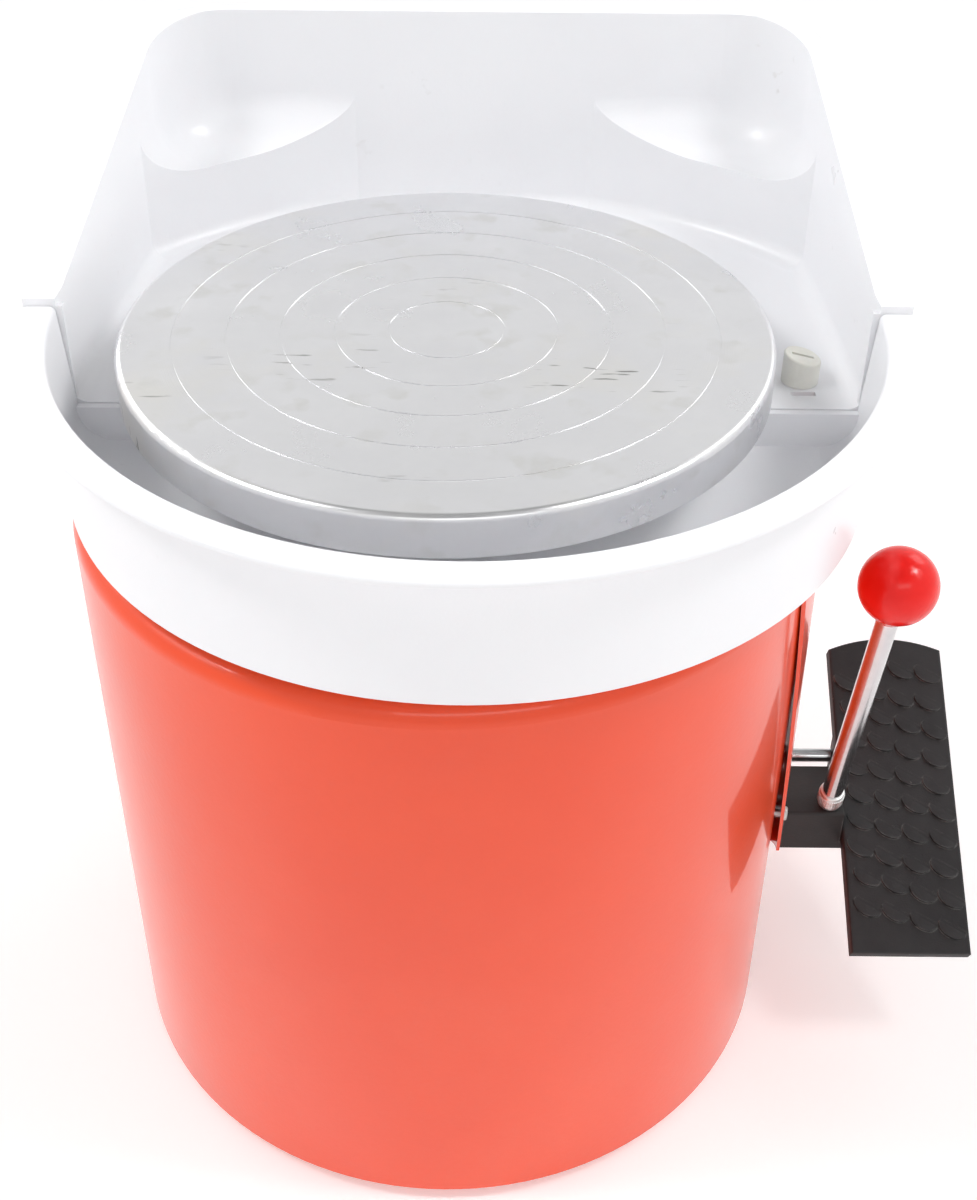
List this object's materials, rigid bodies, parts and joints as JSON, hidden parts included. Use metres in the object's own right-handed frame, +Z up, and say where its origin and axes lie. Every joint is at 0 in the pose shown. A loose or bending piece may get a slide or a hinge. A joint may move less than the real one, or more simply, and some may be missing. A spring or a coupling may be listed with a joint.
{
  "type": "pottery wheel",
  "caption": "Tabletop pottery wheel: round drum body, spinning head with centring grooves, two-part splash basin, rocking foot pedal with a hand lever.",
  "frame": {"origin": "on the wheel's axis, on the surface that the base ring stands on", "axes": "+Z up along the wheel's axis; -Y towards the potter; +X towards the pedal and lever; +Y towards the tall splash wall"},
  "size_m": [0.4015, 0.363, 0.4042],
  "materials": {
    "red_paint": "gloss orange-red powder coat",
    "white_plastic": "semi-gloss moulded",
    "turned_aluminium": "satin, turned and worn",
    "cast_aluminium": "as cast",
    "zinc_steel": "zinc plated",
    "bright_steel": "ground",
    "chrome": "polished",
    "black_paint": "satin black",
    "black_rubber": "matte, worn",
    "red_plastic": "glossy",
    "cream_plastic": "matte",
    "black_plastic": "fine grain",
    "bronze": "sintered bronze"
  },
  "bodies": {
    "base": {"upper_bearing_outer_race": "bright_steel", "lower_bearing_outer_race": "bright_steel", "base_ring": "black_rubber", "base_plate": "zinc_steel", "base_ring_screws": "zinc_steel", "columns": "zinc_steel", "drum_front_shell": "red_paint", "drum_rear_shell": "red_paint", "seam_strips": "zinc_steel", "seam_rivets": "zinc_steel", "side_cover": "red_paint", "cover_rivets": "zinc_steel", "deck_plate": "red_paint", "deck_screws": "zinc_steel", "basin_seat": "black_rubber", "latch_catches": "zinc_steel", "bearing_housing": "cast_aluminium", "housing_screws": "zinc_steel", "shaft_seal": "black_rubber", "motor_can": "black_paint", "motor_plate": "zinc_steel", "motor_studs": "zinc_steel", "drive_belt": "black_rubber", "speed_controller": "cast_aluminium", "controller_feet": "cast_aluminium", "controller_screws": "zinc_steel", "switch_panel": "black_plastic", "power_inlet": "black_plastic", "fuse_holder": "black_plastic", "power_switch_frame": "black_plastic", "direction_switch_frame": "black_plastic", "pedal_bracket": "zinc_steel", "pedal_bushings": "bronze", "speed_sensor": "black_plastic"},
    "turntable": {"wheel_head": "turned_aluminium", "wheel_hub": "cast_aluminium", "hub_screws": "zinc_steel", "wheel_shaft": "bright_steel", "upper_bearing_inner_race": "bright_steel", "lower_bearing_inner_race": "bright_steel", "spacer_sleeve": "bright_steel", "large_pulley": "cast_aluminium", "shaft_nut": "zinc_steel"},
    "motor_rotor": {"motor_shaft": "bright_steel", "small_pulley": "cast_aluminium"},
    "pedal": {"pedal_plate": "black_paint", "pedal_screws": "zinc_steel", "pedal_tread": "black_rubber", "pedal_arm": "black_paint", "pedal_shaft": "bright_steel", "steady_rod": "chrome", "lever_rod": "chrome", "lever_collar": "chrome", "lever_knob": "red_plastic"},
    "power_switch": {"power_rocker": "red_plastic"},
    "direction_switch": {"direction_rocker": "black_plastic"},
    "basin_front": {"basin_front_half": "white_plastic"},
    "basin_rear": {"basin_rear_half": "white_plastic"},
    "latch_left": {"latch_knob_left": "cream_plastic"},
    "latch_right": {"latch_knob_right": "cream_plastic"}
  },
  "joints": [
    {"name": "wheel_spin", "type": "hinge", "parent": "base", "child": "turntable", "pos_m": [0, 0, 0.336], "axis": [0, 0, 1], "continuous": true},
    {"name": "motor_spin", "type": "hinge", "parent": "base", "child": "motor_rotor", "pos_m": [-0.099, 0, 0.141], "axis": [0, 0, 1], "continuous": true},
    {"name": "pedal_press", "type": "hinge", "parent": "base", "child": "pedal", "pos_m": [0.157, 0.0095, 0.084], "axis": [-1, 0, 0], "range_deg": [0, 26]},
    {"name": "power_switch_rock", "type": "hinge", "parent": "base", "child": "power_switch", "pos_m": [0.016, 0.15, 0.089], "axis": [1, 0, 0], "range_deg": [-8, 8]},
    {"name": "direction_switch_rock", "type": "hinge", "parent": "base", "child": "direction_switch", "pos_m": [0.035, 0.15, 0.089], "axis": [1, 0, 0], "range_deg": [-8, 8]},
    {"name": "basin_front_pull", "type": "slide", "parent": "base", "child": "basin_front", "axis": [0, -1, 0], "range_m": [0, 0.12]},
    {"name": "basin_rear_pull", "type": "slide", "parent": "base", "child": "basin_rear", "axis": [0, 1, 0], "range_m": [0, 0.12]},
    {"name": "latch_left_turn", "type": "hinge", "parent": "basin_rear", "child": "latch_left", "pos_m": [-0.126, 0.024, 0.318], "axis": [0, 0, 1], "range_deg": [0, 90]},
    {"name": "latch_right_turn", "type": "hinge", "parent": "basin_rear", "child": "latch_right", "pos_m": [0.142, 0.024, 0.318], "axis": [0, 0, -1], "range_deg": [0, 90]}
  ],
  "couplings": [
    {"joint": "motor_spin", "follows": "wheel_spin", "ratio": 5}
  ]
}
